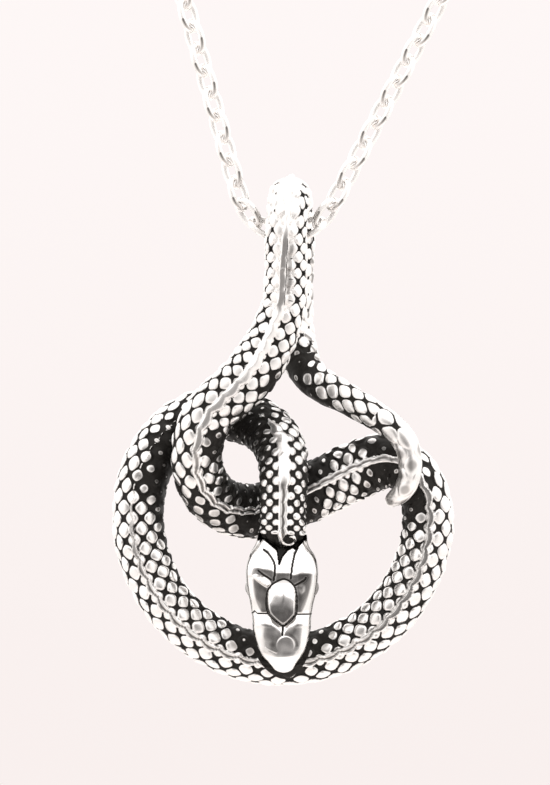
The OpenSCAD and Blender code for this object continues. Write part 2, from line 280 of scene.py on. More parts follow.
def reach_at(t, a):
    """The coarse openness between its grid lines, blended in both directions."""
    row = np.interp(t, reach_t, np.arange(COARSE_T))
    low = np.minimum(row.astype(int), COARSE_T - 2)
    part = (row - low)[:, None]
    lines = reach_map[low] * (1 - part) + reach_map[low + 1] * part
    column = a / (2 * math.pi) * COARSE_A
    left = column.astype(int) % COARSE_A
    across = (column - column.astype(int))[None, :]
    return lines[:, left] * (1 - across) + lines[:, (left + 1) % COARSE_A] * across


print("openness: lowest", reach_map.min().round(2), "mean", reach_map.mean().round(2))

# %% [markdown]
# ## Scales
# The scales stand in staggered rows like a net of rounded pebbles. Counting rows along the body
# and columns around it gives two numbers; their half sum and half difference are whole numbers at
# the middle of every second crossing, which is where a scale sits. The distance from the nearest
# middle gives its dome. A wax carver never cuts two scales alike, so each gets its own size, tilt
# and shine from a seeded table.

# %% Height of the scales
COLUMNS = [18, 16, 12, 10, 6]
SCALE_H = 0.24
rng = np.random.default_rng(7)
carve = rng.random((4, 64, 64))
fine_t = np.linspace(0, LENGTH, 4000)
starts = np.array([*START.values(), LENGTH])


def styled(t, column):
    """A column of the stretches' table at distances t: 1 is the row spacing, 2 the keel, 3 its lean."""
    return np.interp(t, starts, [s[column] for s in STRETCHES.values()] + [TIP_ROW[column - 1]])


spacing = styled(fine_t, 1)
rows_to = np.concatenate([[0], np.cumsum(np.diff(fine_t) / ((spacing[1:] + spacing[:-1]) / 2))])
SWITCHES = [START["neck"] + 19, START["bail"] + 6.5, START["drop"] + 7.5, START["tail"] + 8.2]


def scale_height(t, a, open_to):
    """How far each place is from its scale's middle, 1 at the rim, its dome, and the scale's shine."""
    p = np.interp(t, fine_t, rows_to)[:, None]
    columns = np.array(COLUMNS)[np.searchsorted(SWITCHES, t)][:, None]
    q = a[None, :] / (2 * math.pi) * columns
    half_sum, half_gap = (p + q) / 2, (p - q) / 2
    i, j = np.round(half_sum).astype(int), np.round(half_gap).astype(int)
    u, v = 2 * (half_sum - i), 2 * (half_gap - j)
    # The last column meets the first: wrap the pair of numbers so that the two agree
    turn = np.floor_divide(i - j, columns)
    i, j = i - turn * columns // 2, j + turn * columns // 2
    size, lean_u, lean_v, shine = carve[:, i % 64, j % 64]
    slight = smooth(START["neck"] + 9, START["neck"] + 5, t)[:, None]
    square = 2.1 + 0.7 * open_to * (1 - slight)
    far = (np.abs(u)**square + np.abs(v)**square)**(1 / square)
    far = far / (0.97 + 0.05 * size - (1 - open_to) * (0.1 + 0.15 * size) - 0.1 * slight)
    dome = np.clip(1 - 0.2 * far**2 - 0.8 * far**6, 0, 1)
    lean = (lean_u - 0.5) * u + (lean_v - 0.5) * v
    return far, np.clip(dome * (1 + (1.2 + 1.2 * (1 - open_to)) * lean), 0, 1.3), shine


print("rows of scales:", int(rows_to[-1]), "scales around, two rows together:", COLUMNS)

# %% [markdown]
# ## The keel
# A raised line runs along the whole back. Where it is channelled, its top is hollow, and the room
# that it mirrors is painted on it as one grey stripe between two bright bevels. Elsewhere wear has
# made it flat, soft or round. A table gives its form at some places, with the share of its full
# width, and the forms blend between them. Its edges swell where scales lean on it, and it waves
# from scale to scale.

# %% Height of the keel
KEEL_H, KEEL_SHINE = 0.2, 0.8
# Wave of its middle and swelling of its edges, at no lean and more for each unit of lean
WAVE, SWELL = (0.02, 0.2), (0.05, 0.06)
CHANNELLED, FLAT, SOFT, ROUND = 0, 1, 1.35, 2
# How grey the painted reflection on the top is at the forms 0, 1 and 2, and how far out the grey
# reaches at 0 and 1
STRIPE_GREY, STRIPE_EDGE = [0.95, 0.68, 0], [0.42, 0.6]
# Stretch, millimetres past its start, form, and share of the full width
KEEL_FORMS = [
    ("head", 0, CHANNELLED, 1), ("neck", 3, CHANNELLED, 1), ("neck", 4.2, ROUND, 1.3),
    ("neck", 7.8, ROUND, 1.3), ("neck", 9.3, ROUND, 0.05), ("coil", -2, ROUND, 0.05),
    ("coil", 2, FLAT, 0.7), ("coil", 6, CHANNELLED, 1), ("coil", 25, CHANNELLED, 1),
    ("coil", 29, FLAT, 1), ("hairpin", 3, FLAT, 1), ("hairpin", 6, CHANNELLED, 0.9),
    ("crossing", 8, CHANNELLED, 0.8), ("crossing", 15, CHANNELLED, 0.75), ("rise", -2.5, FLAT, 0.7),
    ("rise", -1.3, SOFT, 0.8), ("rise", 3.6, SOFT, 0.9), ("rise", 5.4, ROUND, 1),
    ("rise", 10.4, ROUND, 1), ("rise", 11, FLAT, 1.15), ("bail", -0.6, FLAT, 1.2),
    ("bail", 0.4, ROUND, 0.8), ("drop", 0, FLAT, 1), ("tail", 0, ROUND, 1), ("hook", 0, ROUND, 1)]
form_t = [START[name] + past for name, past, form, share in KEEL_FORMS]
forms, shares = np.array([row[2:] for row in KEEL_FORMS]).T


def keel_height(t, a, half_w):
    """Distance from the strip's middle, 1 at its edge, the strip, its height and its painted grey
    reflection stripe.
    """
    p = np.interp(t, fine_t, rows_to)[:, None]
    turned = (a + math.pi) % (2 * math.pi) - math.pi
    slim = np.clip(half_w / 2.1, 0.3, 1)[:, None]
    lean = styled(t, 3)[:, None]
    wave = WAVE[0] + WAVE[1] * lean
    swell = SWELL[0] + SWELL[1] * lean
    scallop = np.abs(np.sin(math.pi / 2 * p))
    across = turned[None, :] * half_w[:, None] - slim * wave * (scallop - 0.6)
    edge = slim * (styled(t, 2)[:, None] + swell * (scallop - 0.6))
    off = np.abs(across) / edge / np.interp(t, form_t, shares)[:, None]
    form = np.interp(t, form_t, forms)[:, None]
    hollow, peaked = np.clip(1 - form, 0, 1), np.clip(form - 1, 0, 1)
    flat, foot = smooth(1.2, 0.7, off), smooth(1.35, 1.05, off)
    ridges = 0.7 * np.clip(1 - np.abs(off - 0.6) / 0.5, 0, 1)
    strip = (hollow + peaked) * foot + (1 - hollow - peaked) * flat
    keel = hollow * ridges + (1 - hollow - peaked) * (flat - 0.1 * smooth(0.55, 0.22, off))
    keel = keel + peaked * np.clip(1 - off / 1.2, 0, 1)
    grey = np.interp(form, [CHANNELLED, FLAT, ROUND], STRIPE_GREY)
    within = np.interp(form, [CHANNELLED, FLAT], STRIPE_EDGE)
    stripe = grey * smooth(within, within - 0.18, off)
    return off, across, strip, keel, stripe


print("the keel changes its form at, mm:", [round(float(where), 1) for where in form_t])

# %% [markdown]
# ## The head
# Seen from above, a snake's head is a set of plates that lie like shingles: each slopes up from its
# back edge to a flat front part. So a plate is a shape with straight sides, and its height is the
# least of the ramps that start at its sides: long and gentle from the back, short and steep from
# the rest. All of it is worked out on a flat map of the head, x across and v from the nose back.

# %% Plates and lines on the head's map
NOSE_Z = 13.3
FRONTAL = [
    (0, 8.1), (-0.6, 7.85), (-0.95, 7.6), (-1.25, 7.1), (-1.35, 6.3), (-1.33, 5.8), (-1.2, 5.35),
    (-0.9, 4.95), (-0.4, 4.5), (0, 4.25), (0.4, 4.5), (0.8, 4.9), (1.08, 5.3), (1.1, 6), (1.05, 7),
    (0.92, 7.45), (0.6, 7.85), (0.3, 8.05)]
CHEEK_LEFT = [
    (-3.6, 1.25), (3.1, 1.25), (-0.1, 4.28), (-0.5, 4.65), (-1, 5.08), (-1.4, 5.2), (-3.6, 5.25)]
CHEEK_RIGHT = [(-2.9, 1.25), (3.6, 1.25), (3.6, 5.2), (1.45, 5.22), (1.1, 5.15), (0.7, 4.86)]
BROW_LEFT = [
    (-2.5, 8.2), (-2.5, 7.6), (-2.35, 6.6), (-2.05, 5.8), (-1.8, 5.38), (-1.3, 5.38), (-1.3, 7.3),
    (-2.3, 8.25)]
BROW_RIGHT = [
    (1.2, 8.6), (1.2, 5.38), (1.55, 5.38), (1.9, 6.1), (2.25, 7.2), (2.42, 8), (2.42, 8.6)]
NUB_LEFT = [
    (-2.6, 8.4), (-1.95, 7.8), (-1.4, 7.45), (-1.1, 7.55), (-1.02, 7.9), (-1.25, 8.15), (-1.65, 8.4),
    (-2.3, 8.6)]
NUB_RIGHT = [(1.2, 7.3), (1.5, 6.85), (1.8, 7.1), (1.85, 7.6), (1.7, 7.8), (1.25, 7.6)]
LINES = [
    [(-1.6, 10.55), (-1.25, 10.3), (-1, 10), (-0.75, 9.55), (-0.65, 9.1), (-0.68, 8.6), (-0.78, 8.05)],
    [(1.2, 10.65), (0.95, 10.2), (0.86, 9.8), (0.76, 9.3), (0.7, 8.8), (0.62, 8.2)],
    [(1.05, 7.65), (1.4, 7.85), (1.75, 8.05), (1.88, 8.25)],
    [(-2.05, 8.85), (-1.65, 8.52), (-1.25, 8.27), (-1, 8.1)],
    [(-0.02, 4.2), (-0.06, 3.55)]]
LINE_W = 0.12
BACK_EDGE = [
    (-3.6, 10.3), (-2.5, 11.2), (-1.6, 11.45), (-1.05, 10.95), (-0.5, 10.4), (-0.33, 9.2),
    (-0.05, 9.95), (0.4, 10.45), (0.8, 10.65), (1.05, 10.45), (1.45, 11), (1.85, 11.45),
    (2.3, 11.2), (3.6, 10.3)]
CREASE = [
    (-3.6, 9.1), (-2.1, 9.05), (-0.85, 8.78), (-0.6, 8.64), (0.6, 8.6), (0.8, 8.42), (1.5, 8.6),
    (3.6, 8.6)]
STREAK = [(-1.4, 2.5), (-0.9, 2.25), (-0.55, 2.1)]
# Middle and radius of the low bump on the snout
BUMP = (0.2, 2.7, 0.75)
# Where the cheek plates' tops start to rise
CROWN_V = 4.15
BACK_SLOPE = 0.38
WAVE_SLOPE = 0.035
print("points on the frontal plate:", len(FRONTAL), "lines:", len(LINES))


# %% Lines, plates and polish on the map
def line_far(x, v, points):
    """Distance from a chain of straight lines."""
    far = np.full(x.shape, 9.0)
    for (x0, v0), (x1, v1) in zip(points, points[1:]):
        dx, dv = x1 - x0, v1 - v0
        s = np.clip(((x - x0) * dx + (v - v0) * dv) / (dx**2 + dv**2), 0, 1)
        far = np.minimum(far, np.hypot(x - x0 - s * dx, v - v0 - s * dv))
    return far


def plate(x, v, corners, height, back=0.33, side=2.0, round_by=20):
    """Distance inside a plate and its height: the lowest of the ramps from its sides.

    Corners run anticlockwise, seen with the nose down. A side that faces back has the slope back,
    one that faces forward has the slope side, with all between. Corners are rounded off."""
    inside = 0
    rise = np.full(x.shape, 9.0)
    for (x0, v0), (x1, v1) in zip(corners, corners[1:] + corners[:1]):
        length = math.hypot(x1 - x0, v1 - v0)
        nx, nv = -(v1 - v0) / length, (x1 - x0) / length
        far = (x - x0) * nx + (v - v0) * nv
        slope = back + (side - back) * min(1.0, max(0.0, 1.2 * (1 + nv) - 0.2))
        inside = inside + np.exp(-round_by * np.clip(far, -3, 3))
        rise = np.minimum(rise, far * slope)
    inside = -np.log(inside) / round_by
    rise = np.minimum(rise, inside * side)
    soft = height * 0.2
    return inside, height - soft * np.logaddexp(0, (height - np.maximum(rise, 0)) / soft)


def polish_waves(x, v):
    """Hand polish never leaves a plane: crossing waves about a millimetre long, hundredths high."""
    height = 0
    for angle, turns, phase in ((0.4, 5.1, 0.3), (1.3, 6.7, 2.1), (2.2, 4.3, 4.0), (2.9, 8.2, 1.2)):
        height = height + np.sin(turns * (x * math.cos(angle) + v * math.sin(angle)) + phase) / turns
    return WAVE_SLOPE * height


print("inside the frontal plate, mm:", plate(np.zeros(1), np.full(1, 6.0), FRONTAL, 1)[0].round(2))


# %% Height, black and painted shade of the head's top
def head_height(x, v):
    """Height in millimetres of the head's top, how black it is, and how much painted grey shade it
    gets.

    The height is the sum of a level top that falls behind the crease, the roofs of the plates,
    a bump and a streak on the snout, less the lines cut into it."""
    crease_x, crease_v = np.array(CREASE).T
    crease = np.interp(x, crease_x, crease_v)
    height = polish_waves(x, v) - BACK_SLOPE * 0.06 * np.logaddexp(0, (v - crease) / 0.06)
    level = 0.65 - 0.02 * (v - 4.3) - 0.012 * (v - 4.3)**2
    inside, rise = plate(x, v, FRONTAL, level, back=0.43, side=5.0)
    height = height + np.maximum(rise, 0)
    half_line = 0.05 + 0.03 * smooth(4.8, 5.6, v)
    black = smooth(half_line + 0.04, half_line - 0.02, np.abs(inside + half_line))
    crown = 0.26 + 0.35 * 0.05 * np.logaddexp(0, (v - CROWN_V) / 0.05)
    left, right = plate(x, v, CHEEK_LEFT, crown, back=0.42), plate(x, v, CHEEK_RIGHT, crown, back=0.42)
    height = height + np.maximum(np.maximum(left[1], right[1]), 0)
    bump_far = np.hypot(x - BUMP[0], v - BUMP[1])
    bump = bump_far / BUMP[2]
    height = height + 0.06 * smooth(1.08, 0.85, bump) * np.clip((v - 2.2) / 1.2, 0, 1)
    streak = line_far(x, v, STREAK)
    height = height + 0.02 * np.exp(-(streak / 0.05)**2)
    tongue, roof = plate(x, v, NUB_LEFT, 1, back=0.5, side=1.6)
    height = height + np.maximum(roof, 0)
    pad, low_roof = plate(x, v, NUB_RIGHT, 1, back=0.22, side=0.15)
    height = height + np.maximum(low_roof, 0)
    # The lines between plates are trenches, and everything past the back edge drops to the neck
    lines = np.min([line_far(x, v, points) for points in LINES], axis=0)
    trench = np.exp(-(lines / LINE_W)**2)
    brow_v = 5.3 + 0.2 * np.exp(-((x + 2.35) / 0.15)**2) - 0.05 * (x > 0)
    brow_end = np.exp(-((v - brow_v) / 0.09)**2) * (np.abs(x + 0.08) > 1.2)
    black = np.maximum.reduce([black, smooth(0.35, 0.6, trench), smooth(0.35, 0.7, brow_end)])
    edge_x, edge_v = np.array(BACK_EDGE).T
    past = v - np.interp(x, edge_x, edge_v)
    behind = smooth(-0.02, 0.2, past)
    height = height - 0.03 * trench - 0.04 * brow_end - 0.7 * behind
    # Outside the brows the top is cut to a facet
    brow = np.maximum(plate(x, v, BROW_LEFT, 1)[0], plate(x, v, BROW_RIGHT, 1)[0])
    brow_side = smooth(1.5, 1.8, np.abs(x)) * smooth(5.3, 5.5, v) * smooth(8.5, 8.2, v)
    height = height - 0.3 * np.clip(-brow, 0, 0.5) * brow_side
    # Painted grey shade and reflection lie on the brows, the band behind them, the cheeks, the snout
    # and the chin
    off_nubs = smooth(0.06, -0.06, tongue) * (1 - 0.55 * smooth(-0.1, 0.1, pad))
    brow_shade = smooth(-0.06, 0.08, brow) * off_nubs
    before_crease = smooth(crease + 0.05, crease - 0.08, v)
    band = 0.6 * smooth(7.7, 7.9, v) * before_crease * (x > -2.1) * (x < 2.42)
    cheek = smooth(0.5, 0.9, np.maximum(left[0], right[0])) * smooth(1.75, 1.35, np.abs(x + 0.15))
    patches = np.exp(-((x + 0.9) / 0.35)**2 - ((v - 2.75) / 0.3)**2)
    patches = patches + np.exp(-(bump_far - 0.95)**2 / 0.02) * smooth(0.3, 0.7, x) * (v > 2.6)
    chin = 0.8 * smooth(-0.05, 0.02, inside) * smooth(6.2, 5.4, v)
    band = band * smooth(0.06, -0.06, tongue)
    shade_and_film = np.maximum.reduce([chin, brow_shade, band, 0.4 * cheek, np.clip(patches, 0, 1)])
    return height, np.maximum(black, smooth(-0.05, 0.05, past)), shade_and_film


print("height at the head's middle, mm:", head_height(np.zeros(1), np.full(1, 6.0))[0].round(2))

# %% [markdown]
# ## Two grids
# Distances along the body and angles around it make a grid of points: each starts on the section's
# curve and moves outward by the heights above. The head gets a finer grid of its own, with a
# section so square that its top is flat, and the neck starts beneath its back edge. Normals come
# from whole grids, so pieces cut from one grid meet without a seam.

# %% The head's grid
HEAD_AROUND, HEAD_ROWS = 288, 300
EYE_V, EYE_UP, EYE_SIZE = 7.3, 0.45, 0.55
MOUTH_UP = -0.35
# How square the section is: 2 is an ellipse, and more is squarer
SQUARE_V = [0.3, 1.2, 2.2, 4.7, 5.6, 8.6, 11.5]
SQUARE = [2.2, 3, 4.2, 4, 3.8, 7, 3]


def head_grid():
    """Points and fields of the head, from the nose to beneath the neck's first scales."""
    t = np.linspace(0, START["neck"] - 0.1, HEAD_ROWS)
    a = np.arange(HEAD_AROUND) * 2 * math.pi / HEAD_AROUND
    middle, half_w, half_d, up, side = axes(t)
    cos, sin = np.cos(a)[None, :], np.sin(a)[None, :]
    square = np.interp(middle[:, 1] + NOSE_Z, SQUARE_V, SQUARE)[:, None]
    r = (np.abs(cos)**square + np.abs(sin)**square)**(-1 / square)
    c, s = r * cos, r * sin
    base = (middle[:, None] + (half_d[:, None] * c)[..., None] * up[:, None]
            + (half_w[:, None] * s)[..., None] * side[:, None])
    x, v = base[..., 0], base[..., 1] + NOSE_Z
    height, black, shade_and_film = head_height(x, v)
    top = smooth(0.35, 0.8, c) * smooth(0.5, 1.4, t)[:, None]
    level = half_d[:, None] * c
    pupil = np.hypot(v - EYE_V, level - EYE_UP) / EYE_SIZE
    flank = smooth(0.75, 0.9, np.abs(s))
    mouth = np.exp(-((level - MOUTH_UP - 0.02 * (v - 4)**2) / 0.07)**2)
    mouth = mouth * smooth(9.2, 8.6, v) * (c < 0.2)
    eye_h = 0.16 * np.clip(1 - pupil**2, 0, 1) - 0.08 * np.exp(-((pupil - 1.1) / 0.12)**2)
    lift = height * top
    out = flank * eye_h - 0.12 * mouth
    points = base + lift[..., None] * up[:, None] + (out * np.sign(s))[..., None] * side[:, None]
    rim = np.exp(-((np.abs(s) - 0.95) / 0.014)**2) * (c > 0) * smooth(6.7, 7, v) * smooth(9.4, 9, v)
    dark = np.maximum.reduce([black * smooth(0.05, 0.35, c), mouth, 0.85 * rim,
                              flank * smooth(0.5, 0.9, np.exp(-((pupil - 1.1) / 0.15)**2))])
    # Painted shade: less openness on the underside, and grey along the sides and the outline
    under = smooth(0.0, -0.6, c) * 0.5
    side_shade = 0.3 * smooth(0.87, 0.91, s) * smooth(3, 5, v)
    edge_shade = 0.7 * smooth(0.93, 0.97, np.abs(s))
    shade_and_film = 0.72 * np.maximum(shade_and_film * smooth(0.4, 0.7, c), edge_shade) + side_shade
    return points, {"groove": 1.3 * dark, "reach": np.clip(reach_at(t, a) - under, 0, 1),
                    "shine": np.full(dark.shape, KEEL_SHINE), "mirror": np.ones(dark.shape),
                    "shade_and_film": shade_and_film}


head_points, head_fields = head_grid()
print("head grid:", head_points.shape[:2])

# %% The body's grid
AROUND, BODY_ROWS = 160, 1800
BODY_FROM = 10.3
# Most half width and half depth of the neck beneath the head
NECK_HALF = (2, 1.9)
# Middle of the curl on the head's map, and its radius
CURL = (0.42, 11.32, 0.42)
t = np.linspace(BODY_FROM, LENGTH, BODY_ROWS)
a = np.arange(AROUND) * 2 * math.pi / AROUND
middle, half_w, half_d, up, side = axes(t)
neck_part = t < START["neck"] + 1.2
half_w = np.where(neck_part, np.minimum(half_w, NECK_HALF[0]), half_w)
half_d = np.where(neck_part, np.minimum(half_d, NECK_HALF[1]), half_d)
begin = np.sqrt(np.clip((t - BODY_FROM) / 1.1, 0.001, 1))
half_w, half_d = half_w * begin, half_d * begin
c, s = np.cos(a)[None, :], np.sin(a)[None, :]
base = (middle[:, None] + (half_d[:, None] * c)[..., None] * up[:, None]
        + (half_w[:, None] * s)[..., None] * side[:, None])
out = unit(c[..., None] * up[:, None] + s[..., None] * side[:, None])
print("body grid:", base.shape[:2], "from", BODY_FROM, "to", round(LENGTH, 1), "mm")

# %% [markdown]
# The heights come together here. Each place stands as high as its scale or the keel, whichever is
# higher. Scales are lower in the shut places, on the thin tail, on the strand behind the bail,
# which is worn, and on the hook, which the polishing wheel has blunted.

# %% Relief of the body
# How far out the keel reaches, in its half widths
KEEL_EDGE = 1.1
reach = reach_at(t, a)
far, scales, shine = scale_height(t, a, reach)
off, across, strip, keel, stripe = keel_height(t, a, half_w)
on_keel = off < KEEL_EDGE
curl_x, curl_v = base[..., 0] - CURL[0], base[..., 1] + NOSE_Z - CURL[1]
curl_far = np.hypot(curl_x, curl_v) + (c < 0.5)
bare = smooth(11.5, 11.3, t)[:, None] * (off > 0.9)
inner = smooth(CURL[2] + 0.1, CURL[2], curl_far)
strip, keel = strip * (1 - inner), keel * (1 - inner)
size = np.clip(np.minimum(half_w, half_d) / 1.9, 0.25, 1)[:, None]
worn = smooth(START["drop"] - 3, START["drop"] + 2, t)
worn = worn * smooth(START["tail"] + 0.5, START["tail"] - 3.5, t)
blunt = smooth(START["hook"] - 2.2, START["hook"] + 0.8, t)
tip = 1 - np.maximum(0.6 * blunt, 0.3 * worn)[:, None]
relief = SCALE_H * size * tip * (0.2 + 0.8 * reach)
lift = (np.maximum(scales, strip) - 1) * relief + KEEL_H * size * keel * tip
body_points = base + lift[..., None] * out
print("lift from", lift.min().round(2), "to", lift.max().round(2), "mm")

# %% [markdown]
# Two numbers for each place say how it looks. The groove number is high where oxide stays: between
# scales, beside the keel and in lines that a graver cut by hand; round the head it is a painted
# shadow. The shade and film number is the share of grey painted on bright metal: painted shade in
# shut places, a painted reflection on the keel's hollow top, and grey on the blunted hook. Hand-made
# lines are short chains of points on the front view.

# %% Lines made by hand
# Worn streaks on the strand behind the bail
WORN_LINES = [
    [(2.4, 37.2), (2.42, 36.2), (2.5, 34.6)], [(2.45, 34.2), (2.6, 32.2), (2.45, 31.3), (2.1, 30)],
    [(1.9, 28.6), (2.6, 28)], [(2.1, 27.8), (2.8, 27.1)], [(2.1, 27.1), (3, 26.5)]]
# Graver's cuts beside the keel below the bail
FRONT_LINES = [
    [(0.1, 30.9), (0.26, 33), (0.36, 36.4)], [(0.5, 33.05), (0.85, 33)], [(0.6, 34.75), (0.8, 34.7)],
    [(0.45, 31.25), (1.6, 31.25)]]
WORN_W, CUT_W = 0.08, 0.06
front_x, front_v = base[..., 0], base[..., 1] + MIDDLE_V
in_front = base[..., 2] > 2


def on_lines(lines, width):
    """1 on chains of lines on the front view, falling off over the width as a bell curve."""
    distance = np.min([line_far(front_x, front_v, points) for points in lines], axis=0)
    return np.exp(-(distance / width)**2)


def head_shadow(place):
    """Painted shadow of the head: 1 on the front of the body within a third of a millimetre of its
    outline.
    """
    rows = along(np.linspace(0, 6, 40))
    near = np.full(place.shape[:2], 9.0)
    for row in rows:
        outline = np.hypot(place[..., 0] - row[0], place[..., 1] - row[1]) - row[3] / 2
        near = np.minimum(near, outline)
    return smooth(0.42, 0.15, near) * (place[..., 2] > 0.5)


print("lines made by hand:", len(WORN_LINES) + len(FRONT_LINES))


# %% Grooves and film of the body
def body_groove():
    """Highest of the scales' rims, the curl's inside, the head's painted shadow, the seam and the cuts.
    """
    deep = np.minimum(np.maximum(far, 1.3 * bare), np.where(on_keel, 0.35 * off, 9))
    deep = deep * (0.35 + 0.65 * tip)
    deep = np.maximum(deep, 1.3 * inner)
    # The head's shadow on the coil is painted as black
    deep = np.maximum(deep, 1.3 * head_shadow(body_points) * (t > START["coil"])[:, None])
    # Beside the keel below the bail, and on top of the bail, handling has cleaned the grooves
    beside = smooth(1.15, 0.75, np.abs(across)) * (off > KEEL_EDGE)
    beside = beside * smooth(START["rise"] + 10, START["rise"] + 11.2, t)[:, None]
    beside = beside * (t < START["drop"])[:, None]
    cleaned = smooth(36, 39, front_v) * in_front * smooth(1.3, 0.9, front_x)
    deep = deep * (1 - 0.5 * beside) * (1 - 0.22 * cleaned)
    # A thin seam follows the keel's right edge where it leans
    seam = np.exp(-((off - 1.15) / 0.12)**2) * (across > 0) * smooth(0.3, 0.8, styled(t, 3))[:, None]
    seam = seam * ((t > START["rise"]) & (t < START["bail"] - 1))[:, None]
    deep = np.maximum(deep, 1.1 * seam)
    return np.maximum(deep, 1.3 * on_lines(FRONT_LINES, CUT_W) * (base[..., 2] > 4))


def body_shade_and_film():
    """Painted grey shade of shut places, less on their scales' rims and tops, then grey of the hook,
    the keel's painted reflection and the streaks.
    """
    # Scale middles get more grey as a painted reflection of the dark front, and faces turned down get
    # more as painted shade
    middle_part = smooth(0.8, 0.45, far / (0.24 + 0.67 * reach))
    turned_up = 0.15 + 0.85 * smooth(0.5, -0.1, out[..., 1])
    shade_and_film = smooth(1, 0.4, reach) * (0.25 + 0.7 * middle_part) * turned_up
    shade_and_film = np.maximum(shade_and_film, 0.6 * blunt[:, None] * smooth(0.75, 0.35, far) * (shine > 0.35))
    # On the keel the grey is its painted reflection stripe
    shade_and_film = np.where(on_keel, stripe, shade_and_film)
    # A second, narrow stripe runs beside the keel below the bail
    panel = smooth(0.12, 0.02, np.abs(across - 0.55) - 0.1)
    panel = panel * smooth(31.6, 32, front_v) * smooth(37, 35, front_v) * in_front
    shade_and_film = np.maximum(shade_and_film, 0.6 * panel)
    turned_front = (base[..., 2] < 0) * smooth(-0.1, 0.3, out[..., 2])
    return np.maximum(shade_and_film, 0.9 * on_lines(WORN_LINES, WORN_W) * turned_front)


body_fields = {
    "groove": body_groove(), "reach": reach, "shine": np.where(on_keel, KEEL_SHINE, shine),
    "mirror": -smooth(20, 24, front_v) * in_front, "shade_and_film": body_shade_and_film()}
print("mean groove", body_fields["groove"].mean().round(2), "shade_and_film", body_fields["shade_and_film"].mean().round(2))

# %% [markdown]
# ## Cutting the grids into pieces
# One mesh of the whole body would be too heavy, so it is cut where strands cross. Each piece is a
# closed tube: rows of quads and a flat cap at each end inside the metal.

# %% Normals and the mesh of one piece
def grid_normals(grid):
    """Cross product of the steps along and around the grid, pointing out of the body."""
    ahead = np.gradient(grid, axis=0)
    around = np.roll(grid, -1, axis=1) - np.roll(grid, 1, axis=1)
    return unit(np.cross(around, ahead))


def to_frame(local):
    """Snake's own x, z, front in millimetres to the frame's x, y, z in metres."""
    x, z, front = local[..., 0], local[..., 1], local[..., 2]
    return np.stack([x + eye[0] - EYE_X, EYE_FRONT - front + eye[1], z + eye[2] - EYE_Z], -1) * MM


def tube_faces(rows, n):
    """Quads between neighbouring rows, and one cap at each end."""
    k, j = np.meshgrid(np.arange(rows - 1), np.arange(n), indexing="ij")
    m = (j + 1) % n
    quads = np.stack([k * n + j, k * n + m, (k + 1) * n + m, (k + 1) * n + j], -1).reshape(-1, 4)
    return quads, np.arange(n)[::-1], np.arange(n) + (rows - 1) * n


def snake_piece(name, grid, fields, normals, first=0, last=None):
    """Mesh of a grid's rows first to last, with its fields as attributes."""
    last = len(grid) - 1 if last is None else last
    rows = slice(first, last + 1)
    place = to_frame(grid[rows]).reshape(-1, 3)
    quads, start_cap, end_cap = tube_faces(last + 1 - first, grid.shape[1])
    mesh = bpy.data.meshes.new(name)
    mesh.from_pydata(place, [], quads.tolist() + [start_cap.tolist(), end_cap.tolist()])
    for label, field in fields.items():
        mesh.attributes.new(label, "FLOAT", "POINT").data.foreach_set(
            "value", field[rows].ravel().astype(np.float32))
    mesh.shade_smooth()
    local = normals[rows].reshape(-1, 3)
    mesh.normals_split_custom_set_from_vertices(
        np.column_stack([local[:, 0], -local[:, 2], local[:, 1]]).tolist())
    piece = bpy.data.objects.new(name, mesh)
    bpy.context.scene.collection.objects.link(piece)
    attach(piece, "pendant")
    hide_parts("snake")
    print(name, "rows", first, "to", last, "triangles", 2 * len(quads))
    return piece


# %% Five pieces stand for the snake
CUTS = {"snake_neck": BODY_FROM, "snake_coil": START["coil"] + 4,
        "snake_crossing": START["crossing"], "snake_tail": START["bail"] + 4.6}
cut_rows = [int(np.searchsorted(t, where)) for where in CUTS.values()] + [len(t) - 1]
body_normals = grid_normals(body_points)
snake = [snake_piece("snake_head", head_points, head_fields, grid_normals(head_points))]
snake += [snake_piece(name, body_points, body_fields, body_normals, first, last)
          for name, first, last in zip(CUTS, cut_rows, cut_rows[1:])]

# %% [markdown]
# The keel ends behind the head in a small curl: a round wire laid on the neck, bent like a hook.
# Its path is a few places on the head's flat map, and each place takes its height from the nearest
# point of the neck's own grid, so that the wire lies half sunk in the metal.

# %% The curl at the end of the keel
CURL_PATH = [
    (-0.3, 12.5), (-0.27, 11.9), (-0.15, 11.4), (0.02, 11.1), (0.3, 10.95), (0.62, 10.95),
    (0.88, 11.12), (0.96, 11.38), (0.86, 11.6), (0.66, 11.66), (0.52, 11.56)]
CURL_WIRE = 0.15


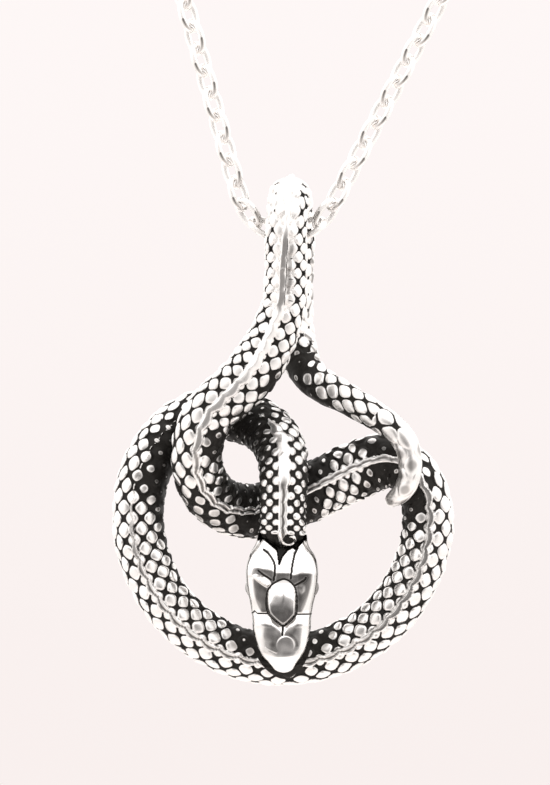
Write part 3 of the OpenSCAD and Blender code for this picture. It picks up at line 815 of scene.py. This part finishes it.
def curl_piece():
    """Rings of radius CURL_WIRE, thinner at both ends, around a curve through CURL_PATH."""
    x, v = np.array(CURL_PATH).T
    u = np.linspace(0, len(x) - 1, 61)
    slope_x, slope_v = np.gradient(x), np.gradient(v)
    i = np.minimum(u.astype(int), len(x) - 2)
    w = u - i

    def through(value, slope):
        return ((2 * w**3 - 3 * w**2 + 1) * value[i] + (w**3 - 2 * w**2 + w) * slope[i]
                + (3 * w**2 - 2 * w**3) * value[i + 1] + (w**3 - w**2) * slope[i + 1])

    px, pz = through(x, slope_x), through(v, slope_v) - NOSE_Z
    front = body_points[:120].reshape(-1, 3)
    front = front[front[:, 2] > 4]
    gap = (px[:, None] - front[:, 0])**2 + (pz[:, None] - front[:, 1])**2
    depth = front[gap.argmin(1), 2]
    depth = np.convolve(np.pad(depth, 4, "edge"), np.ones(9) / 9, "valid")
    path = np.column_stack([px, pz, depth + 0.02])
    tangent = unit(np.gradient(path, axis=0))
    side = unit(np.cross(tangent, [0, 0, 1]))
    a = np.arange(12) * math.pi / 6
    radius = CURL_WIRE * np.minimum(1, 0.3 + np.minimum(u, u[-1] - u))[:, None, None]
    ring = np.cos(a)[None, :, None] * np.array([0, 0, 1]) + np.sin(a)[None, :, None] * side[:, None]
    grid = path[:, None] + radius * ring
    fields = {name: np.full(grid.shape[:2], value) for name, value in
              (("groove", 0.0), ("reach", 1.0), ("shine", 0.8), ("mirror", 0.5), ("shade_and_film", 0.0))}
    return snake_piece("snake_curl", grid, fields, grid_normals(grid))


snake.append(curl_piece())

# %% [markdown]
# ## Silver
# Shader maths reads best as plain expressions, so one small class wraps a socket and turns + and *
# into Math nodes. Any other node comes from one method that takes its type, settings and inputs.


# %% A socket that does arithmetic
class Socket:
    """A value in a node tree: an output socket that takes part in Python expressions."""

    def __init__(self, tree, out):
        self.tree, self.out = tree, out

    def node(self, kind, settings=None, **inputs):
        """Adds a node, sets its settings, then fills or links the named inputs."""
        made = self.tree.nodes.new(kind)
        for key, value in (settings or {}).items():
            setattr(made, key, value)
        for key, value in inputs.items():
            found = [s for s in made.inputs if s.name == key.replace("_", " ") and s.enabled]
            by_number = key.startswith("in") and key[2:].isdigit()
            target = made.inputs[int(key[2:])] if by_number else found[0]
            if isinstance(value, Socket):
                self.tree.links.new(value.out, target)
            else:
                target.default_value = value
        return made

    def wrap(self, made, name=0):
        """A Socket around an output of a node in the same tree."""
        return Socket(self.tree, made.outputs[name])

    def maths(self, operation, *values):
        """A Math node on the values, in the order in which the node takes them."""
        inputs = {f"in{i}": value for i, value in enumerate(values)}
        return self.wrap(self.node("ShaderNodeMath", {"operation": operation}, **inputs))

    def root(self):
        """Square root."""
        return self.maths("SQRT", self)

    def __add__(self, other):
        return self.maths("ADD", self, other)

    def __radd__(self, other):
        return self.maths("ADD", other, self)

    def __sub__(self, other):
        return self.maths("SUBTRACT", self, other)

    def __rsub__(self, other):
        return self.maths("SUBTRACT", other, self)

    def __mul__(self, other):
        return self.maths("MULTIPLY", self, other)

    def __rmul__(self, other):
        return self.maths("MULTIPLY", other, self)

    def ramp(self, low, high):
        """0 at low to 1 at high with an S-shaped step; low and high may be sockets."""
        made = self.node("ShaderNodeMapRange", {"interpolation_type": "SMOOTHSTEP"})
        for name, value in (("Value", self), ("From Min", low), ("From Max", high)):
            if isinstance(value, Socket):
                self.tree.links.new(value.out, made.inputs[name])
            else:
                made.inputs[name].default_value = value
        return self.wrap(made)

    def colour(self, dark, light):
        """Blends two colours by this value."""
        made = self.node("ShaderNodeMix", {"data_type": "RGBA"})
        self.tree.links.new(self.out, made.inputs[0])
        for slot, value in ((6, dark), (7, light)):
            if isinstance(value, Socket):
                self.tree.links.new(value.out, made.inputs[slot])
            else:
                made.inputs[slot].default_value = (*value, 1)
        return self.wrap(made, 2)


# %% Blends, new materials and their inputs
def mix(factor, first, second):
    """Blends two colours or colour sockets by a value."""
    return factor.colour(first, second)


def new_material(name):
    """An empty material, its Principled shader and a Socket to build from."""
    material = bpy.data.materials.new(name)
    material.use_nodes = True
    tree = material.node_tree
    shader = tree.nodes["Principled BSDF"]
    return material, shader, Socket(tree, None)


def feed(shader, **inputs):
    """Sets or links the shader's inputs."""
    for key, value in inputs.items():
        socket = shader.inputs[key.replace("_", " ")]
        if isinstance(value, Socket):
            value.tree.links.new(value.out, socket)
        else:
            socket.default_value = value


# %% [markdown]
# Oxide stays where the wheel can't go: in every groove, and far up the sides of the scales where the
# surface is shut in, which is also painted shade. The edge between bright and black follows the
# carved height, pushed down or up by the openness, with a fine noise so that it looks rubbed and
# not drawn. Near the head the black is a painted shadow, and the grey on bright metal is painted
# shade and reflection as well as film.

# %% Scaled silver
SILVER = (0.93, 0.915, 0.9)
WARM_SILVER = (0.86, 0.84, 0.82)
# Grey of painted shade and reflection, and of film
SHADE_AND_FILM_GREY = (0.14, 0.13, 0.122)
OXIDE = (0.013, 0.011, 0.009)


def scaled_silver():
    """Bright silver with painted grey shade and film, and black where oxide and the head's painted
    shadow pass the edge.
    """
    material, shader, s = new_material("scaled_silver")

    def field(name):
        return s.wrap(s.node("ShaderNodeAttribute", {"attribute_name": name}), "Fac")

    groove, reach, shine = field("groove"), field("reach"), field("shine")
    mirror, shade_and_film = field("mirror"), field("shade_and_film")
    place = s.wrap(s.node("ShaderNodeTexCoord"), "Object")
    rub = s.wrap(s.node("ShaderNodeTexNoise", Vector=place, Scale=5200.0, Detail=3.0), 0)
    wear = s.wrap(s.node("ShaderNodeTexNoise", Vector=place, Scale=900.0, Detail=2.0), 0)
    edge = 0.24 + 0.64 * reach + (1 - reach) * (shine - 0.5) * 0.4 + 0.11 * (rub - 0.5)
    black = groove.ramp(edge - 0.05, edge + 0.05)
    tarnish = wear.ramp(0.45, 0.75) * 0.5 + 0.5 * (1 - shine)
    bright = mix(shade_and_film, mix(tarnish, SILVER, WARM_SILVER), SHADE_AND_FILM_GREY)
    feed(shader, Base_Color=mix(black, bright, OXIDE),
         Metallic=1 - 0.5 * black, Roughness=0.28 - 0.15 * mirror + 0.08 * wear + 0.25 * black)
    bump = s.node("ShaderNodeBump", Strength=0.05, Distance=0.00004, Height=rub)
    s.tree.links.new(bump.outputs[0], shader.inputs["Normal"])
    return material


scaled = scaled_silver()
for piece in snake:
    piece.data.materials.append(scaled)
print("scaled_silver nodes:", len(scaled.node_tree.nodes))


# %% [markdown]
# The chain was never blackened. It is bright drawn wire, with faint drawing marks and soft handling
# wear. Where a link's near side runs down to the next link, one short grey stroke is painted as a
# reflection of the dark opening in front, and the rest of the surface that faces forward is duller.
# Two attributes of the links say where, and the surface's own direction narrows the stroke to the
# crest of the wire.

# %% Chain silver
# Grey of the painted reflection stroke
STROKE_REFLECTION_GREY = (0.5, 0.48, 0.46)
CHAIN_BRIGHT, CHAIN_WORN = (0.96, 0.945, 0.93), (0.9, 0.88, 0.86)


def chain_silver():
    """Bright silver with a painted grey reflection stroke on one crest and a duller finish on the other
    crests.
    """
    material, shader, s = new_material("chain_silver")
    place = s.wrap(s.node("ShaderNodeTexCoord"), "Object")
    wear = s.wrap(s.node("ShaderNodeTexNoise", Vector=place, Scale=700.0, Detail=3.0), 0)
    fine = s.wrap(s.node("ShaderNodeTexNoise", Vector=place, Scale=6000.0, Detail=2.0), 0)
    normal = s.node("ShaderNodeSeparateXYZ", Vector=s.wrap(s.node("ShaderNodeTexCoord"), "Normal"))
    ahead = 0 - s.wrap(normal, 1)
    reflection_stroke = s.wrap(s.node("ShaderNodeAttribute", {"attribute_name": "reflection_stroke"}), "Fac")
    near_side = reflection_stroke.ramp(0.2, 0.7) - (0 - reflection_stroke).ramp(0.2, 0.7)
    # Painted reflection: grey where the near side's crest faces forward
    stroke = (ahead * near_side).ramp(0.77, 0.95)
    oval = s.wrap(s.node("ShaderNodeAttribute", {"attribute_name": "oval"}), "Fac")
    dull = oval * ahead.ramp(0.75, 0.92) * (1 - stroke)
    silver = mix(wear.ramp(0.4, 0.75), CHAIN_BRIGHT, CHAIN_WORN)
    feed(shader, Base_Color=mix(stroke, silver, STROKE_REFLECTION_GREY),
         Metallic=1.0, Roughness=0.1 + 0.12 * wear + 0.4 * dull)
    bump = s.node("ShaderNodeBump", Strength=0.08, Distance=0.00003, Height=fine)
    s.tree.links.new(bump.outputs[0], shader.inputs["Normal"])
    return material


chain = chain_silver()
for name in ("end_ring", "clasp_link", "clasp"):
    node = frame["nodes"][name]
    node.data.materials.clear()
    node.data.materials.append(chain)
    print(name, "faces", len(node.data.polygons))

# %% [markdown]
# The solids' links have straight sides. Worn links are oval all the way round, so each mirrors the
# dark opening in front as one short curved stroke, which the chain's material also paints grey.
# Every link of a solid chain has the same number of points, so a reshape gives them one by one;
# the directions in which its points spread most and least are its length and the axis through its
# hole.

# %% Oval links in place of the straight-sided ones
LINK_STEPS, WIRE_STEPS, WIRE_R = 40, 12, 0.28
# Number of links in each half of the chain
LINKS = {"chain_left": 114, "chain_right": 113}
# Where along a link's near side the painted reflection stroke lies, from its middle down, and how far
# it runs
STROKE_AT, STROKE_WIDTH = math.radians(40), math.radians(44)


def stroke_bump(angle):
    """1 on the lower half of a link's near side, where the painted reflection stroke lies, at the angle
    set above from its middle towards its lower end.
    """
    return np.exp(-((angle - STROKE_AT) / STROKE_WIDTH)**2)


def oval_links(name, count):
    """One mesh of ovals, each with the middle, length and width of a link of the solid chain."""
    vertices = frame["nodes"][name].data.vertices
    places = np.empty(len(vertices) * 3)
    vertices.foreach_get("co", places)
    links = places.reshape(count, -1, 3) / MM
    spread = links - links.mean(1, keepdims=True)
    axis = np.linalg.eigh(np.einsum("kni,knj->kij", spread, spread))[1]
    hole, wide, long = axis[..., 0], axis[..., 1], axis[..., 2]
    centre = links.mean(1)
    half_l = np.abs((spread * long[:, None]).sum(2)).max(1)[:, None, None, None] - WIRE_R
    half_w = np.abs((spread * wide[:, None]).sum(2)).max(1)[:, None, None, None] - WIRE_R
    u = (np.arange(LINK_STEPS) * 2 * math.pi / LINK_STEPS)[None, :, None, None]
    w = (np.arange(WIRE_STEPS) * 2 * math.pi / WIRE_STEPS)[None, None, :, None]
    hole, wide, long = hole[:, None, None], wide[:, None, None], np.cross(wide, hole)[:, None, None]
    outward = unit(half_w * np.cos(u) * long + half_l * np.sin(u) * wide)
    middle = centre[:, None, None] + half_l * np.cos(u) * long + half_w * np.sin(u) * wide
    wire = middle + WIRE_R * (np.cos(w) * outward + np.sin(w) * hole)
    k, i, j = np.meshgrid(np.arange(count), np.arange(LINK_STEPS), np.arange(WIRE_STEPS), indexing="ij")
    start = k * LINK_STEPS * WIRE_STEPS
    m, n = (i + 1) % LINK_STEPS * WIRE_STEPS, (j + 1) % WIRE_STEPS
    i = i * WIRE_STEPS
    quads = np.stack([start + i + j, start + m + j, start + m + n, start + i + n], -1).reshape(-1, 4)
    # Around the oval, forward is 1 on the side nearer the front and downward is 1 at the lower end
    forward = -np.sin(u) * np.sign(wide[..., 1:2]) * np.ones(half_w.shape)
    downward = -np.cos(u) * np.sign(long[..., 2:3])
    # Which side of each link carries the painted reflection stroke
    reflection_stroke = stroke_bump(np.arctan2(downward, forward)) - stroke_bump(np.arctan2(downward, -forward))
    mesh = bpy.data.meshes.new("oval_" + name)
    mesh.from_pydata(wire.reshape(-1, 3) * MM, [], quads.tolist())
    for label, field in (("reflection_stroke", reflection_stroke), ("oval", 1.0)):
        mesh.attributes.new(label, "FLOAT", "POINT").data.foreach_set(
            "value", np.broadcast_to(field, wire.shape[:3] + (1,)).ravel().astype(np.float32))
    mesh.shade_smooth()
    mesh.materials.append(chain)
    piece = bpy.data.objects.new("oval_" + name, mesh)
    bpy.context.scene.collection.objects.link(piece)
    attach(piece, "chain")
    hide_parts(name)
    print(piece.name, "links", count, "triangles", 2 * len(quads))


for name, count in LINKS.items():
    oval_links(name, count)

# %% [markdown]
# ## Light, floor and camera
# Polished silver shows only what is around it. A pale tent lights it from all sides. Round the
# camera the tent is open and darker, and that is the grey in every surface that faces forward. The
# floor is a pale disc under the pendant, below the picture's edge.

# %% The tent
# What the camera sees behind the piece, above and below the horizon
PALE_TOP, PALE_LOW = (0.991, 0.933, 0.925), (0.945, 0.871, 0.855)
# What the silver mirrors: the walls below and above, the opening in front, and its dark middle
WALL_LOW, WALL_TOP = (1.0, 0.95, 0.92), (1.6, 1.56, 1.54)
OPENING, LENS_DARK = (0.5, 0.48, 0.47), (0.17, 0.162, 0.158)


def tent():
    """World colour by direction: the backdrop for the camera, the tent for everything else."""
    world = bpy.data.worlds.new("tent")
    bpy.context.scene.world = world
    world.use_nodes = True
    tree = world.node_tree
    tree.nodes.clear()
    s = Socket(tree, None)
    direction = s.wrap(s.node("ShaderNodeTexCoord"), "Generated")
    parts = s.node("ShaderNodeSeparateXYZ", Vector=direction)
    y, z = s.wrap(parts, 1), s.wrap(parts, 2)
    height = z.ramp(-0.1, 0.1)
    seen = mix(height, PALE_LOW, PALE_TOP)
    opening = (0 - y).ramp(0.83, 0.91)
    off_axis = (1 - y * y).root()
    front = mix(off_axis.ramp(0.03, 0.42), LENS_DARK, OPENING)
    walls = mix(z.ramp(-0.9, 0.9), WALL_LOW, WALL_TOP)
    lit = mix(opening, walls, front)
    camera = s.wrap(s.node("ShaderNodeLightPath"), "Is Camera Ray")
    colour = mix(camera, lit, seen)
    background = s.node("ShaderNodeBackground", Color=colour, Strength=1.0)
    output = tree.nodes.new("ShaderNodeOutputWorld")
    tree.links.new(background.outputs[0], output.inputs[0])


tent()
print("tent nodes:", len(bpy.context.scene.world.node_tree.nodes))

# %% Camera
PX_PER_MM = 12
VIEW_W, VIEW_H = 550, 785
COIL_PX = (283, 515)
DISTANCE = 0.4
coil_x = eye[0] - EYE_X
coil_z = eye[2] - EYE_Z
camera = bpy.data.cameras.new("camera")
camera.sensor_width = 36
camera.lens = camera.sensor_width * DISTANCE / (VIEW_H / PX_PER_MM * MM)
camera.clip_end = 20
viewer = bpy.data.objects.new("camera", camera)
viewer.location = ((coil_x + (VIEW_W / 2 - COIL_PX[0]) / PX_PER_MM) * MM, -DISTANCE,
                   (coil_z + (COIL_PX[1] - VIEW_H / 2) / PX_PER_MM) * MM)
viewer.rotation_euler = (math.pi / 2, 0, 0)
bpy.context.scene.collection.objects.link(viewer)
bpy.context.scene.camera = viewer
print("camera at", [round(v, 4) for v in viewer.location], "lens", round(camera.lens, 1), "mm")

# %% Floor
FLOOR_Z, FLOOR_R, FLOOR_SIDES = -0.32, 0.16, 96
PAPER_DARK, PAPER_LIGHT = (0.86, 0.82, 0.8), (0.9, 0.86, 0.84)


def floor():
    """A flat disc whose rim is a circle of FLOOR_SIDES points, of grained paper."""
    a = np.arange(FLOOR_SIDES) * 2 * math.pi / FLOOR_SIDES
    rim = np.column_stack([FLOOR_R * np.cos(a), FLOOR_R * np.sin(a), np.full(FLOOR_SIDES, FLOOR_Z)])
    mesh = bpy.data.meshes.new("floor")
    mesh.from_pydata(rim.tolist(), [], [list(range(FLOOR_SIDES))])
    disc = bpy.data.objects.new("floor", mesh)
    bpy.context.scene.collection.objects.link(disc)
    material, shader, s = new_material("floor_paper")
    place = s.wrap(s.node("ShaderNodeTexCoord"), "Object")
    grain = s.wrap(s.node("ShaderNodeTexNoise", Vector=place, Scale=300.0, Detail=3.0), 0)
    feed(shader, Base_Color=mix(grain, PAPER_DARK, PAPER_LIGHT), Roughness=0.9)
    mesh.materials.append(material)


floor()
bpy.context.scene.view_settings.view_transform = "Standard"
print("floor at", FLOOR_Z, "m, radius", FLOOR_R, "m")
